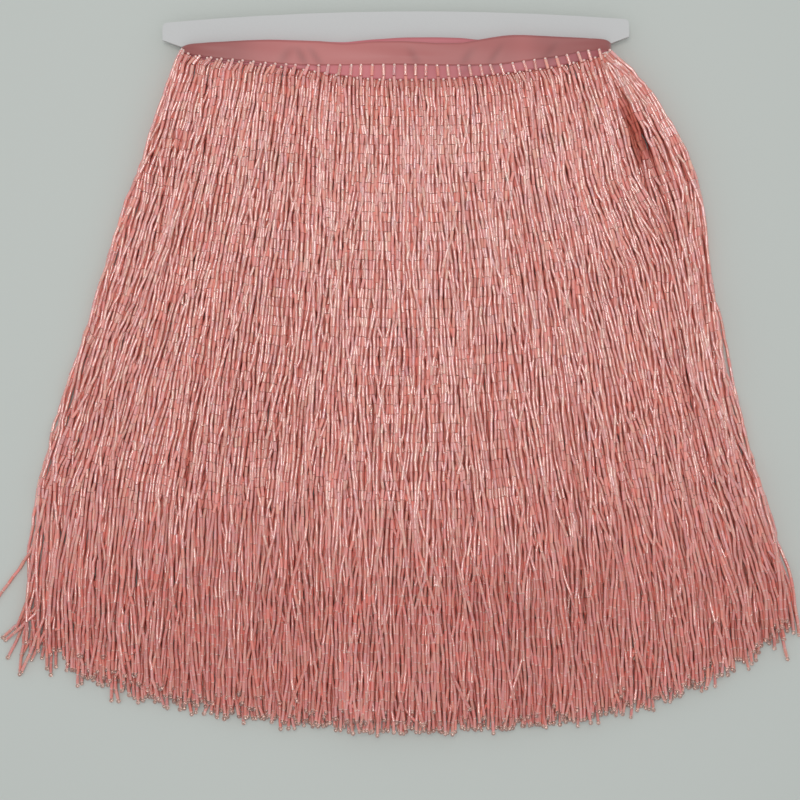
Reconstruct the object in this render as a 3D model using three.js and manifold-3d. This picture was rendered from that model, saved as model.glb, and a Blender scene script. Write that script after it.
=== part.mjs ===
// Beaded fringe trim: a satin ribbon with long bead strands sewn along it, wound flat on a stiff card.
// It lies on its back with the strands spread out below the card.
// Millimetres, +Z up. +X runs along the card, +Y points from the strands' tips to the card's top edge,
// and z = 0 is the surface that it lies on. "down" is the distance below the ribbon's neck line, along -Y.
import * as THREE from "three";
import { mergeVertices } from "three/addons/utils/BufferGeometryUtils.js";
import Module from "manifold-3d";

// One strand of the fringe, drawn as a three-sided bar as wide as its beads.
// Small kinks take up a few millimetres of the sewn length, so a row's drawn length is a little less.
const SEWN_LENGTH = 304.8;
const STRAND_WIDTH = 1.8;
const STRAND_HEIGHT = 1.3;
const LENGTH_SPREAD = 2.5;
const TRACE_STEP = 4;

// How the strands wander: all of a layer together, and each one a little by itself.
const SWAY = 2.2;
const SWAY_LENGTH = 175;
const SWAY_PER_SPAN = 5;
const SWAY_STARTS = 60;
const SWAY_PHASE = { top: 3, upper: 5, lower: 5.6, floor: 4.2 };
const OWN_SWAY = 0.8;

// The ribbon's neck, from its middle to where it turns round the card's edge.
const NECK_HALF = 98;
const FAN_EVEN = 0.6;
const BULGE_POWER = 5;

// Between pieces that touch on the real trim.
const GAP = 0.3;

// How far the outermost strand of each side has moved outwards at each depth. The right side also bulges.
const FAN = [
  { down: 3, out: 0, bulge: 0 },
  { down: 24, out: 7, bulge: 15 },
  { down: 40, out: 12, bulge: 20 },
  { down: 70, out: 20, bulge: 20 },
  { down: 110, out: 34, bulge: 11 },
  { down: 150, out: 48, bulge: 3 },
  { down: 200, out: 63, bulge: 1 },
  { down: 245, out: 75, bulge: 6 },
  { down: 290, out: 83, bulge: 7 },
];

// The ribbon seen from above: the winding's top edge, the outer turn's top edge and lower edge,
// and the lower edge of the second turn, which hangs lower in the middle and to the right.
const HEADER = [
  { x: -98.3, top: 0.8, turn: 0.3, edge: 1.6, band: 4 },
  { x: -96, top: 1.0, turn: 0.5, edge: 1.9, band: 4.4 },
  { x: -92, top: 2.5, turn: 2.0, edge: 2.6, band: 5.2 },
  { x: -76, top: 3.2, turn: 2.7, edge: 4.4, band: 6.9 },
  { x: -58, top: 4.0, turn: 3.5, edge: 5.9, band: 8.4 },
  { x: -35, top: 3.8, turn: 2.8, edge: 7.1, band: 10.4 },
  { x: -10, top: 4.6, turn: 2.4, edge: 7.1, band: 13.4 },
  { x: 12, top: 5.6, turn: 2.4, edge: 7.1, band: 13.8 },
  { x: 34, top: 5.0, turn: 2.8, edge: 7.4, band: 12.8 },
  { x: 54, top: 6.4, turn: 5.9, edge: 6.2, band: 10.4 },
  { x: 75, top: 5.5, turn: 5.0, edge: 3.3, band: 7.8 },
  { x: 92, top: 4.2, turn: 3.6, edge: 1.2, band: 4.6 },
  { x: 96, top: 2.3, turn: 1.8, edge: 1.0, band: 4.6 },
  { x: 98.3, top: 2.0, turn: 1.4, edge: 0.7, band: 4 },
];

// The winding's thickness: flat along the card, rounded off where each turn goes round the card's edge.
const WINDING_TOP = 12.2;
const WINDING_ENDS = [
  { x: 0, rise: 0 },
  { x: 84, rise: 0 },
  { x: 92, rise: 0.7 },
  { x: 96.4, rise: 1.8 },
  { x: 97.7, rise: 2.9 },
  { x: 98.3, rise: 4.1 },
];
const WINDING_STATIONS = [
  -98.3, -97.7, -96.4, -92, -84, -76, -67, -58, -46, -35, -22, -10,
  1, 12, 23, 34, 44, 54, 64, 75, 84, 92, 96.4, 97.7, 98.3,
];
const UNDER_EDGE = 0.8;
const FOLD_ROUND = 1.2;
const TURN_STEP = 0.8;
const EDGE_SLOPE = 0.1;
const PLEATS = [
  { x: -84, lift: -0.4 },
  { x: -46, lift: -0.3 },
  { x: 1, lift: -0.5 },
  { x: 44, lift: -0.3 },
  { x: 84, lift: -0.4 },
];

// The card: arched top edge, a notch in each side that holds the ribbon, and a lower flange behind
// the front strands. The winding's hollow for it is deeper than the ribbon is wide.
const CARD = {
  half: 106.5,
  shoulder: 13.4,
  arch: 17.6,
  side: 5.4,
  corner: 3,
  lip: 98.4,
  lipTop: 2.4,
  notch: 95.9,
  notchTop: 2.1,
  notchLow: -2.5,
  flange: 98.6,
  flangeTop: -3.4,
  bottom: -13.2,
  low: 5.2,
  thick: 1.8,
  tilt: 0.45,
  archSteps: 10,
};
const HOLLOW_DEPTH = 60;

// Heights of the four layers of strands, from the header down to where they lie flat. A row that starts
// above its layer steps down to it once it is clear of the strip below.
const LAYERS = [
  { down: 24, top: 9.0, upper: 7.3, lower: 3.4, floor: 0 },
  { down: 62, top: 7.2, upper: 5.5, lower: 1.7, floor: 0 },
  { down: 112, top: 5.6, upper: 3.9, lower: 1.7, floor: 0 },
  { down: 180, top: 5.1, upper: 3.4, lower: 1.7, floor: 0 },
];
const CLEAR_OF_BAND = 15;

// Each row of strands with the strip of ribbon edge that holds it. The rows of one layer share their gaps:
// offset is the place of the first strand in its own pitch. kinks is how much shorter a row's strands are
// drawn. A band strip reaches down to the second turn's lower edge, and a slim one is narrow all along.
const STRIP_HEIGHT = 1.4;
const SLIM_STRIP = 2.0;
const ROWS = [
  { name: "front_outer", strands: 40, offset: 0.5, kinks: 2, layer: "top", root: 10.7, strip: "slim" },
  { name: "front_second", strands: 40, offset: 1.0, kinks: 5, layer: "top", root: 9.0, strip: "band" },
  { name: "front_inner", strands: 50, offset: 0.5, kinks: 4, layer: "upper", root: 7.3, strip: "slim" },
  { name: "back_inner", strands: 50, offset: 0.5, kinks: 4, layer: "lower", root: 3.4, strip: "slim" },
  { name: "back_second", strands: 40, offset: 1.0, kinks: 6, layer: "floor", root: 1.7, strip: "band" },
  { name: "back_outer", strands: 40, offset: 0.5, kinks: 2, layer: "floor", root: 0, strip: "slim" },
];
const ROOT_OVERLAP = 0.8;
const STRIP_REACH = 1.01;

const satin = new THREE.MeshStandardMaterial({ color: 0xb87777, roughness: 0.35, metalness: 0.0 });
const beads = new THREE.MeshStandardMaterial({ color: 0xe0938a, roughness: 0.15, metalness: 0.1 });
const card = new THREE.MeshStandardMaterial({ color: 0xdfe2e6, roughness: 0.6, metalness: 0.0 });

const wasm = await Module();
wasm.setup();

// The value of one column of a table at a place between its rows.
function lookUp(table, along, column, place) {
  let next = table.findIndex((row) => row[along] >= place);
  if (next < 0) next = table.length - 1;
  const last = Math.max(next - 1, 0);
  const a = table[last];
  const b = table[next];
  const share = b === a ? 0 : THREE.MathUtils.clamp((place - a[along]) / (b[along] - a[along]), 0, 1);
  return THREE.MathUtils.lerp(a[column], b[column], share);
}

// A number from -1 to 1 that belongs to one strand of one row.
function chance(row, strand, use) {
  const mixed = Math.sin(row * 78.233 + strand * 12.9898 + use * 37.719) * 43758.5453;
  return 2 * (mixed - Math.floor(mixed)) - 1;
}

// A closed body through rings of points that all have the same number of corners.
function loft(rings) {
  const corners = rings[0].length;
  const points = rings.flat();
  const index = [];
  for (let ring = 0; ring + 1 < rings.length; ring++) {
    for (let corner = 0; corner < corners; corner++) {
      const a = ring * corners + corner;
      const b = ring * corners + ((corner + 1) % corners);
      index.push(a, b, a + corners, b, b + corners, a + corners);
    }
  }
  const last = (rings.length - 1) * corners;
  for (const [a, b, c] of capFaces(rings[0])) index.push(c, b, a);
  for (const [a, b, c] of capFaces(rings[rings.length - 1])) index.push(last + a, last + b, last + c);
  const body = new THREE.BufferGeometry().setFromPoints(points);
  body.setIndex(index);
  return body;
}

// The triangles that close one ring, which is flat and stands across the loft.
function capFaces(ring) {
  const across = new THREE.Vector3().subVectors(ring[1], ring[0]).normalize();
  const normal = new THREE.Vector3();
  for (let i = 1; i + 1 < ring.length; i++) {
    const side = new THREE.Vector3().subVectors(ring[i], ring[0]);
    normal.add(side.cross(new THREE.Vector3().subVectors(ring[i + 1], ring[0])));
  }
  const along = new THREE.Vector3().crossVectors(normal.normalize(), across);
  const flat = ring.map((point) => new THREE.Vector2(point.dot(across), point.dot(along)));
  return THREE.ShapeUtils.triangulateShape(flat, []);
}

// Closed geometry as a solid that can be joined or cut, and back.
function toSolid(geometry) {
  const bare = geometry.clone();
  bare.deleteAttribute("normal");
  bare.deleteAttribute("uv");
  const merged = mergeVertices(bare, 1e-4);
  return new wasm.Manifold(
    new wasm.Mesh({
      numProp: 3,
      vertProperties: new Float32Array(merged.attributes.position.array),
      triVerts: new Uint32Array(merged.index.array),
    }),
  );
}

function toGeometry(solid) {
  const made = solid.getMesh();
  const geometry = new THREE.BufferGeometry();
  geometry.setAttribute("position", new THREE.BufferAttribute(made.vertProperties, 3));
  geometry.setIndex(new THREE.BufferAttribute(made.triVerts, 1));
  geometry.computeVertexNormals();
  return geometry;
}

// Where a strand runs, seen from above: x at a depth, for a strand that starts at share -1 to 1 of the neck.
function strandX(share, down, row, strand) {
  const size = Math.abs(share);
  const fan = lookUp(FAN, "down", "out", down) * THREE.MathUtils.lerp(size ** 2, size, FAN_EVEN);
  const bulge = share > 0 ? lookUp(FAN, "down", "bulge", down) * size ** BULGE_POWER : 0;
  const eased = THREE.MathUtils.smoothstep(down, 0, SWAY_STARTS);
  const turn = (2 * Math.PI * down) / SWAY_LENGTH + SWAY_PER_SPAN * share + SWAY_PHASE[row.layer];
  const shared = SWAY * eased * Math.sin(turn);
  const own = OWN_SWAY * chance(row.strands + row.root, strand, 1) * (down / SEWN_LENGTH) ** 1.5;
  return NECK_HALF * share + Math.sign(share) * (fan + bulge) + shared + own;
}

// The depth at which a strand of this length ends.
function tipDepth(share, rootDown, length, row, strand) {
  let down = rootDown;
  let left = length;
  while (left > 0) {
    const next = down + Math.min(TRACE_STEP, left);
    const aside = strandX(share, next, row, strand) - strandX(share, down, row, strand);
    left -= Math.hypot(next - down, aside);
    down = next;
  }
  return down;
}

// One strand from inside its strip to its tip.
function makeStrand(row, strand) {
  const share = -1 + (2 * (strand + row.offset)) / row.strands;
  const stripLow = stripEdge(row, NECK_HALF * share);
  const length = SEWN_LENGTH - row.kinks + LENGTH_SPREAD * chance(row.strands + row.root, strand, 2);
  const tip = tipDepth(share, stripLow, length, row, strand);
  const floor = LAYERS[LAYERS.length - 1][row.layer];
  const stops = [{ down: stripLow - ROOT_OVERLAP, z: row.root }];
  const starts = LAYERS[0][row.layer];
  if (row.root > starts) stops.push({ down: CLEAR_OF_BAND, z: row.root });
  for (const level of LAYERS) stops.push({ down: level.down, z: level[row.layer] });
  stops.push({ down: tip, z: floor });
  const path = stops.map(({ down, z }) => new THREE.Vector3(strandX(share, down, row, strand), -down, z));
  path[0].x = strandX(share, stripLow, row, strand);
  const rings = path.map((point, i) => {
    const before = path[Math.max(i - 1, 0)];
    const after = path[Math.min(i + 1, path.length - 1)];
    return strandRing(point, before, after);
  });
  return loft(rings);
}

// The three corners of a strand at one point of its path.
function strandRing(point, before, after) {
  const run = new THREE.Vector2(after.x - before.x, after.y - before.y).normalize();
  const side = new THREE.Vector3(-run.y, run.x, 0).multiplyScalar(STRAND_WIDTH / 2);
  const ridge = new THREE.Vector3(0, 0, STRAND_HEIGHT);
  return [point.clone().add(side), point.clone().add(ridge), point.clone().sub(side)];
}

// The lower edge of a row's strip of ribbon edge.
function stripEdge(row, x) {
  const slim = lookUp(HEADER, "x", "edge", x) + GAP + SLIM_STRIP;
  return row.strip === "band" ? Math.max(slim, lookUp(HEADER, "x", "band", x)) : slim;
}

// The strip that the roots of a row are fused into, just below the winding's edge.
function makeStrip(row) {
  const rings = HEADER.map(({ x, edge }) => {
    const upper = -edge - GAP;
    const lower = -stripEdge(row, x);
    return [
      [lower, row.root],
      [upper, row.root],
      [upper, row.root + STRIP_HEIGHT],
      [lower, row.root + STRIP_HEIGHT],
    ].map(([y, z]) => new THREE.Vector3(STRIP_REACH * x, y, z));
  });
  return loft(rings);
}

function makeFringe(row) {
  const pieces = [toSolid(makeStrip(row))];
  for (let strand = 0; strand < row.strands; strand++) pieces.push(toSolid(makeStrand(row, strand)));
  return namedMesh(`fringe_${row.name}`, toGeometry(wasm.Manifold.union(pieces)), beads);
}

// The wound ribbon: one closed ring round the card, with the outer turn raised over the turn behind it.
function windingRing(x) {
  const top = lookUp(HEADER, "x", "top", x);
  const turn = lookUp(HEADER, "x", "turn", x);
  const low = -lookUp(HEADER, "x", "edge", x);
  const rise = lookUp(WINDING_ENDS, "x", "rise", Math.abs(x));
  const pleat = PLEATS.find((fold) => fold.x === x);
  const front = WINDING_TOP - rise + (pleat ? pleat.lift : 0);
  const profile = [
    [low + UNDER_EDGE, rise],
    [top - UNDER_EDGE, rise],
    [top, rise + FOLD_ROUND],
    [top, front - TURN_STEP - FOLD_ROUND],
    [top - 2 * EDGE_SLOPE, front - TURN_STEP],
    [turn + EDGE_SLOPE, front - TURN_STEP],
    [turn - EDGE_SLOPE, front],
    [low + UNDER_EDGE, front],
    [low, front - FOLD_ROUND],
    [low, rise + FOLD_ROUND],
  ];
  return profile.map(([y, z]) => new THREE.Vector3(x, y, z));
}

function makeWinding() {
  const outside = toSolid(loft(WINDING_STATIONS.map(windingRing)));
  const slot = new THREE.BoxGeometry(2 * (CARD.notch + GAP), HOLLOW_DEPTH, CARD.thick + 2 * GAP);
  slot.translate(0, 0, CARD.low + CARD.thick / 2);
  slot.rotateZ(THREE.MathUtils.degToRad(CARD.tilt));
  return namedMesh("ribbon_winding", toGeometry(outside.subtract(toSolid(slot))), satin);
}

function makeCard() {
  const outline = new THREE.Shape();
  outline.moveTo(-CARD.half, CARD.side);
  outline.lineTo(-CARD.half, CARD.shoulder - CARD.corner);
  outline.quadraticCurveTo(-CARD.half, CARD.shoulder, -CARD.half + CARD.corner, CARD.shoulder);
  outline.quadraticCurveTo(0, 2 * CARD.arch - CARD.shoulder, CARD.half - CARD.corner, CARD.shoulder);
  outline.quadraticCurveTo(CARD.half, CARD.shoulder, CARD.half, CARD.shoulder - CARD.corner);
  for (const side of [1, -1]) {
    const corners = [
      [CARD.half, CARD.side],
      [CARD.lip, CARD.lipTop],
      [CARD.notch, CARD.notchTop],
      [CARD.notch, CARD.notchLow],
      [CARD.flange, CARD.flangeTop],
      [CARD.flange, CARD.bottom],
    ];
    if (side < 0) corners.reverse();
    for (const [x, y] of corners) outline.lineTo(side * x, y);
  }
  const sheet = { depth: CARD.thick, bevelEnabled: false, curveSegments: CARD.archSteps };
  const body = new THREE.ExtrudeGeometry(outline, sheet);
  body.translate(0, 0, CARD.low);
  body.rotateZ(THREE.MathUtils.degToRad(CARD.tilt));
  return namedMesh("card", body, card);
}

function namedMesh(name, geometry, material) {
  const mesh = new THREE.Mesh(geometry, material);
  mesh.name = name;
  return mesh;
}

// The origin is the middle of the box's underside.
function centred(meshes) {
  const trim = new THREE.Group();
  trim.add(...meshes);
  const box = new THREE.Box3().setFromObject(trim);
  const middle = box.getCenter(new THREE.Vector3());
  trim.position.set(-middle.x, -middle.y, -box.min.z);
  return trim;
}

export default centred([makeCard(), makeWinding(), ...ROWS.map(makeFringe)]);
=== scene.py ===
# Beaded fringe trim: a satin ribbon with long strands of glass tube beads, wound on a notched card.
# Sizes are in millimetres until a mesh is made. Places are measured from the middle of the ribbon's neck:
# x along the card, "down" from the neck towards the tips, and z up from the surface that the trim lies on.
import math

import bpy
import numpy as np
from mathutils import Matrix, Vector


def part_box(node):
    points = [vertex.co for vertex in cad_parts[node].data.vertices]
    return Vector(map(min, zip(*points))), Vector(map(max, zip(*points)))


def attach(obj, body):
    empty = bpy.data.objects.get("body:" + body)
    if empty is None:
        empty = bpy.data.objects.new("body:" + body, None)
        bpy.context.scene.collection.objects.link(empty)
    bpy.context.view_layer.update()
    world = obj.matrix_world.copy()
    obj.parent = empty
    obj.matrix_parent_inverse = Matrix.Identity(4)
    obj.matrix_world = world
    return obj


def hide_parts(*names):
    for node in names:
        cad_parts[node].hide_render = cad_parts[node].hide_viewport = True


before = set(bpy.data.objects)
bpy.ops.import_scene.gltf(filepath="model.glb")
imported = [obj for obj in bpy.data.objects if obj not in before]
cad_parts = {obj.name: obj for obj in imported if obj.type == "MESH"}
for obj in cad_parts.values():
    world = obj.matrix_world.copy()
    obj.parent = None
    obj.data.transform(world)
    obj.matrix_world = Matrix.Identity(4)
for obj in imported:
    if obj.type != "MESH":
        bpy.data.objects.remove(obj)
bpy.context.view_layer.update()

MM = 0.001
random = np.random.default_rng(11)

# The card and the ribbon's winding, from the frame. The middle of the neck lies NECK_BELOW_TOP under the
# winding's top edge, and the neck reaches NECK_HALF to each side.
WINDING_LOW, WINDING_HIGH = (np.array(corner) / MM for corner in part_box("ribbon_winding"))
CARD_LOW, CARD_HIGH = (np.array(corner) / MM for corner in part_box("card"))
NECK_BELOW_TOP = 6.4
NECK_X = (WINDING_LOW[0] + WINDING_HIGH[0]) / 2
NECK_Y = WINDING_HIGH[1] - NECK_BELOW_TOP
NECK_HALF = 98.0
WINDING_TOP = WINDING_HIGH[2]

# One strand: 68 tube beads between two round seed beads. STEEP_ASIDE is how far aside one bead may reach.
STEEP_ASIDE = 3.4
BEAD_PITCH = 4.39
BEAD_LENGTH = 4.19
BEAD_RADIUS = 0.78
BEADS = 68
SEED_RADIUS = 0.72
TIP_RADIUS = 1.08

# How far the outermost strands of each side move outwards on their way down. The right side also bulges.
# FAN_EVEN is the share of this that grows evenly along the neck; the rest grows towards the sides.
FAN = (
    {"down": 0, "left": 0, "right": 0, "bulge": 0},
    {"down": 3, "left": 1, "right": 0, "bulge": 3.5},
    {"down": 24, "left": 7, "right": 7, "bulge": 12},
    {"down": 40, "left": 12, "right": 12, "bulge": 16.5},
    {"down": 55, "left": 16, "right": 16, "bulge": 19},
    {"down": 70, "left": 20, "right": 20, "bulge": 20},
    {"down": 110, "left": 34, "right": 34, "bulge": 11},
    {"down": 150, "left": 47, "right": 48, "bulge": 3},
    {"down": 200, "left": 61, "right": 63, "bulge": 1},
    {"down": 245, "left": 67, "right": 75, "bulge": 4},
    {"down": 290, "left": 68, "right": 81, "bulge": 4},
    {"down": 330, "left": 68, "right": 83, "bulge": 4},
)
FAN_EVEN = 0.6

# The bulge of the right side. The strands behind the card share it smoothly, those near the corner most.
# In front of the card only strands from SWEPT_FROM of the neck on follow it, from SWEPT_FULL on by at least
# SWEPT_INNER of it, so a hollow opens between them and the rest. It closes between the two depths of
# HOLLOW_ENDS. Some rows have more strands at the corner, and others have more in the hollow.
BULGE_POWER = 5
SWEPT_FROM = 0.942
SWEPT_FULL = 0.946
SWEPT_INNER = 0.76
HOLLOW_ENDS = (60, 100)
SWEPT_NODES = ("fringe_front_second", "fringe_front_outer")
CORNER_SHARES = (0.955, 0.962, 0.970, 0.978, 0.985, 0.992)
CORNER_ROWS = (3, 5)
HOLLOW_SHARES = (0.9432, 0.9440)
HOLLOW_ROWS = (0, 1)

# How many beads fewer a side strand has, by hundredths of the neck: the ends rise towards both sides. They
# are uneven by END_UNEVEN.
END_UNEVEN = 1.9
ENDS = (
    {"share": -100, "short": 4.2},
    {"share": -92, "short": 2.6},
    {"share": -75, "short": 1.2},
    {"share": -50, "short": 0.6},
    {"share": 0, "short": 0},
    {"share": 60, "short": 0},
    {"share": 80, "short": 1.2},
    {"share": 92, "short": 2.8},
    {"share": 100, "short": 4.2},
)

# The ribbon from above: the top of the turn that peeks out, the top and the lower edge of the outer turn,
# and the lower edge of the second turn. Upwards is positive for the tops, downwards for the edges.
HEADER = (
    {"x": -98.6, "top": 0.9, "turn": 0.8, "edge": 0.9, "band": 1.3},
    {"x": -97, "top": 1.6, "turn": 1.4, "edge": 1.7, "band": 2.1},
    {"x": -94, "top": 2.1, "turn": 2.0, "edge": 2.7, "band": 3.1},
    {"x": -89, "top": 2.4, "turn": 2.2, "edge": 3.6, "band": 4.0},
    {"x": -80, "top": 2.6, "turn": 2.5, "edge": 4.8, "band": 5.3},
    {"x": -68, "top": 3.4, "turn": 3.2, "edge": 5.8, "band": 6.4},
    {"x": -57, "top": 3.6, "turn": 3.5, "edge": 7.0, "band": 7.8},
    {"x": -44, "top": 3.2, "turn": 3.1, "edge": 7.8, "band": 9.4},
    {"x": -34, "top": 2.9, "turn": 2.8, "edge": 7.9, "band": 11.0},
    {"x": -23, "top": 2.6, "turn": 1.7, "edge": 7.8, "band": 12.8},
    {"x": -12, "top": 3.8, "turn": 2.8, "edge": 7.7, "band": 14.0},
    {"x": 3, "top": 4.8, "turn": 3.0, "edge": 7.6, "band": 14.4},
    {"x": 18, "top": 4.9, "turn": 2.1, "edge": 7.9, "band": 14.3},
    {"x": 30, "top": 4.6, "turn": 2.1, "edge": 8.0, "band": 13.6},
    {"x": 38, "top": 3.6, "turn": 3.5, "edge": 8.0, "band": 12.8},
    {"x": 48, "top": 5.3, "turn": 5.2, "edge": 7.6, "band": 11.7},
    {"x": 55, "top": 5.8, "turn": 5.7, "edge": 6.6, "band": 10.8},
    {"x": 66, "top": 5.2, "turn": 5.2, "edge": 5.0, "band": 9.5},
    {"x": 75, "top": 4.8, "turn": 4.7, "edge": 3.8, "band": 8.0},
    {"x": 85, "top": 4.4, "turn": 4.3, "edge": 1.5, "band": 5.5},
    {"x": 92, "top": 4.2, "turn": 4.2, "edge": 0.8, "band": 4.0},
    {"x": 96, "top": 4.2, "turn": 4.1, "edge": 0.4, "band": 3.2},
    {"x": 98.6, "top": 2.9, "turn": 2.8, "edge": 1.2, "band": 2.6},
)

# The rows of strands, from the surface up: those behind the card, and those in front of it. The first rows
# behind fill the right side, where the strands spread. Each row starts a little further along the neck than
# the last, and SHARE_NOISE makes the starts uneven.
BACK_ROWS = 12
FILLING_ROWS = 3
FILLING_POWER = 0.62
FRONT_ROWS = 8
FRONT_ROW_SHIFT = 3
STRANDS = 40
ROW_SHIFT = 0.382
SHARE_NOISE = 0.0022
SHARE_LIMIT = 0.998

# Where the strands leave the ribbon. Behind the card: how far down from the outer turn's edge the first row
# does, how much further each next one, and how far under the card the last one. Down to BEHIND_CARD they
# stay under the card. In front of it: how far over the card the first row does, by how much the rows' range
# is less than the winding's, and how far up under the second turn they start. SECOND_LOWER is how much lower
# the second turn lies than the outer one.
BACK_ROOT_DOWN = 0.8
BACK_ROOT_STEP = 0.5
BACK_ROOT_UNDER = 1.2
BEHIND_CARD = 18
CARD_GAP = 0.1
FRONT_ROOT_OVER = 1.0
FRONT_ROOT_MARGINS = 1.9
UNDER_BAND = 1.0
SECOND_LOWER = 0.5


def column(table, along, name, soft=3.5):
    """A function that reads a column of a table at any place. A larger soft rounds its corners more."""
    places = np.array([row[along] for row in table], float)
    values = np.array([row[name] for row in table], float)
    fine = np.linspace(places[0], places[-1], int(places[-1] - places[0]) + 1)
    raw = np.interp(fine, places, values)
    reach = 9
    blur = np.exp(-0.5 * (np.arange(-reach, reach + 1) / soft) ** 2)
    padded = np.pad(raw, reach, mode="reflect", reflect_type="odd")
    rounded = np.convolve(padded, blur / blur.sum(), mode="valid")
    return lambda place: np.interp(place, fine, rounded)


fan_left = column(FAN, "down", "left")
fan_right = column(FAN, "down", "right")
fan_bulge = column(FAN, "down", "bulge")
end_short = column(ENDS, "share", "short")
header_top = column(HEADER, "x", "top", soft=1.6)
header_turn = column(HEADER, "x", "turn", soft=1.6)
header_edge = column(HEADER, "x", "edge", soft=1.6)
header_band = column(HEADER, "x", "band", soft=1.6)


def guide_x(share, down, swept):
    """Where a strand from share -1 to 1 of the neck would run if nothing disturbed it."""
    size = np.abs(share)
    even = size * FAN_EVEN + size ** 2 * (1 - FAN_EVEN)
    out = np.where(share > 0, fan_right(down), fan_left(down))
    smooth = size ** BULGE_POWER
    corner = SWEPT_INNER + (1 - SWEPT_INNER) * np.clip((size - SWEPT_FULL) / (1 - SWEPT_FULL), 0, 1)
    corner = corner * np.clip((size - SWEPT_FROM) / (SWEPT_FULL - SWEPT_FROM), 0, 1)
    closing = np.clip((down - HOLLOW_ENDS[0]) / (HOLLOW_ENDS[1] - HOLLOW_ENDS[0]), 0, 1)
    held = smooth + (corner - smooth) * swept * (1 - closing)
    bulge = np.where(share > 0, fan_bulge(down) * held, 0)
    return NECK_HALF * share + np.sign(share) * (out * even + bulge)


# Locks: slow waves across the fringe that draw strands together and part them, more so down to LOCK_DEPTH.
LOCK_DEPTH = 180
LOCK_CURVE = 1.2
LOCK_ROW_PHASE = 1.7
LOCKS = (
    {"across": 31.0, "slant": 0.020, "phase": 0.4, "pull": 0.5},
    {"across": 19.0, "slant": -0.028, "phase": 2.1, "pull": 0.3},
    {"across": 53.0, "slant": 0.012, "phase": 4.0, "pull": 0.9},
)


def lock_pull(x, down, row):
    eased = np.clip(down / LOCK_DEPTH, 0, 1) ** LOCK_CURVE
    pull = 0
    for wave in LOCKS:
        turn = 2 * math.pi * x / wave["across"] + wave["slant"] * down
        pull = pull + wave["pull"] * np.sin(turn + wave["phase"] + LOCK_ROW_PHASE * row)
    return pull * eased


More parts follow.
